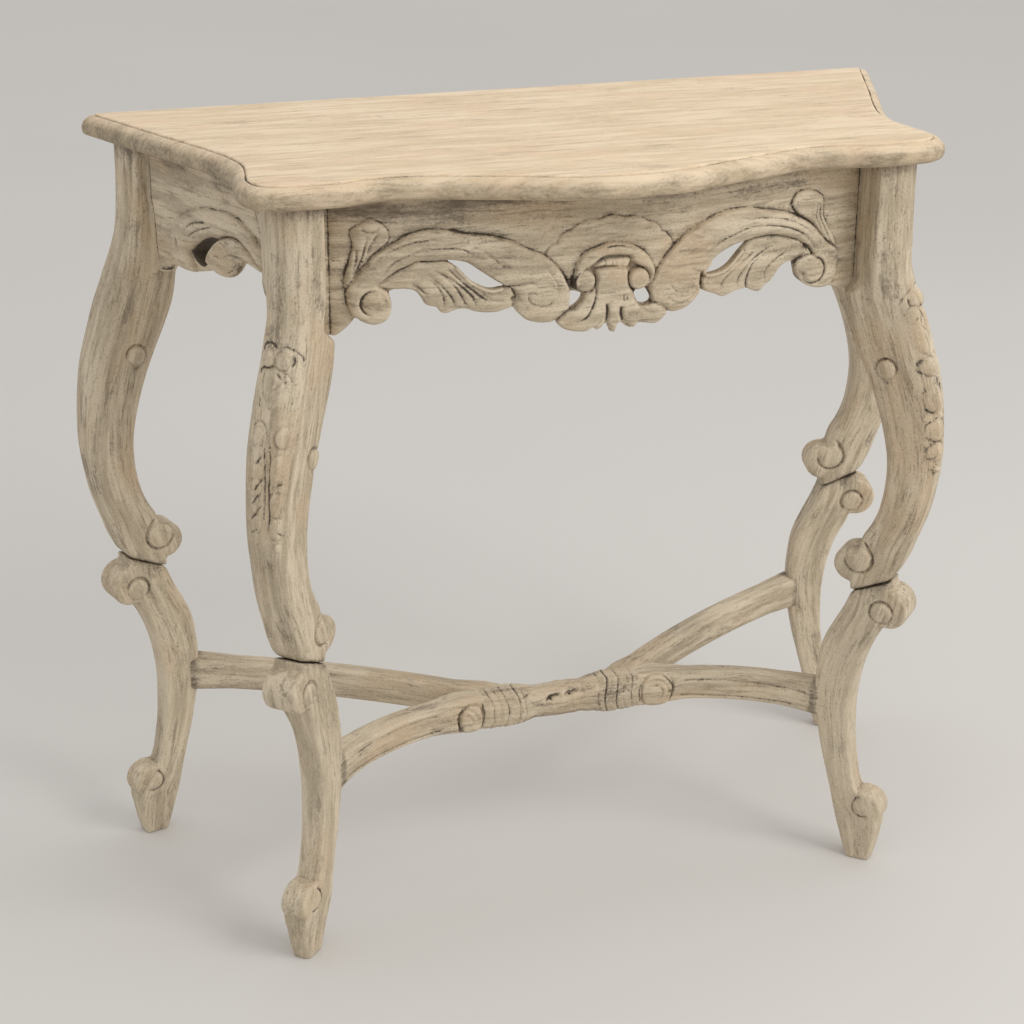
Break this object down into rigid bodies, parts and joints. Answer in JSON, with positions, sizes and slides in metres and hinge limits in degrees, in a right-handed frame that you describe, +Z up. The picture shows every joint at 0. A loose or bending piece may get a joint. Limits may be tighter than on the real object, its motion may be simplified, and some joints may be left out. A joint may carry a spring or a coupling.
{
  "type": "pier table",
  "caption": "Carved pier table with a serpentine top, pierced scroll and shell aprons, two-part cabriole scroll legs and a curved stretcher, in a limed wood finish.",
  "frame": {"origin": "on the floor under the middle of the table's overall box", "axes": "+X along the table's length to the right, +Y from the carved front to the wall, +Z up"},
  "size_m": [0.9404, 0.412, 0.8],
  "materials": {
    "top_wood": "limed, waxed, long grain",
    "frame_wood": "limed, dark in the carving",
    "inner_wood": "plain, unfinished",
    "screw_steel": "dull steel"
  },
  "bodies": {
    "root": {"top_board_front": "top_wood", "top_board_middle": "top_wood", "top_board_back": "top_wood", "front_right_upper_leg": "frame_wood", "front_right_lower_leg": "frame_wood", "front_right_stretcher_arm": "frame_wood", "front_right_corner_block": "inner_wood", "front_left_upper_leg": "frame_wood", "front_left_lower_leg": "frame_wood", "front_left_stretcher_arm": "frame_wood", "front_left_corner_block": "inner_wood", "back_right_upper_leg": "frame_wood", "back_right_lower_leg": "frame_wood", "back_right_stretcher_arm": "frame_wood", "back_right_corner_block": "inner_wood", "back_left_upper_leg": "frame_wood", "back_left_lower_leg": "frame_wood", "back_left_stretcher_arm": "frame_wood", "back_left_corner_block": "inner_wood", "front_apron": "frame_wood", "right_apron": "frame_wood", "left_apron": "frame_wood", "back_apron": "inner_wood", "stretcher_hub": "frame_wood", "waist_dowels": "inner_wood", "stretcher_leg_dowels": "inner_wood", "stretcher_hub_dowels": "inner_wood", "leg_screws": "screw_steel", "top_screws": "screw_steel"}
  },
  "joints": []
}
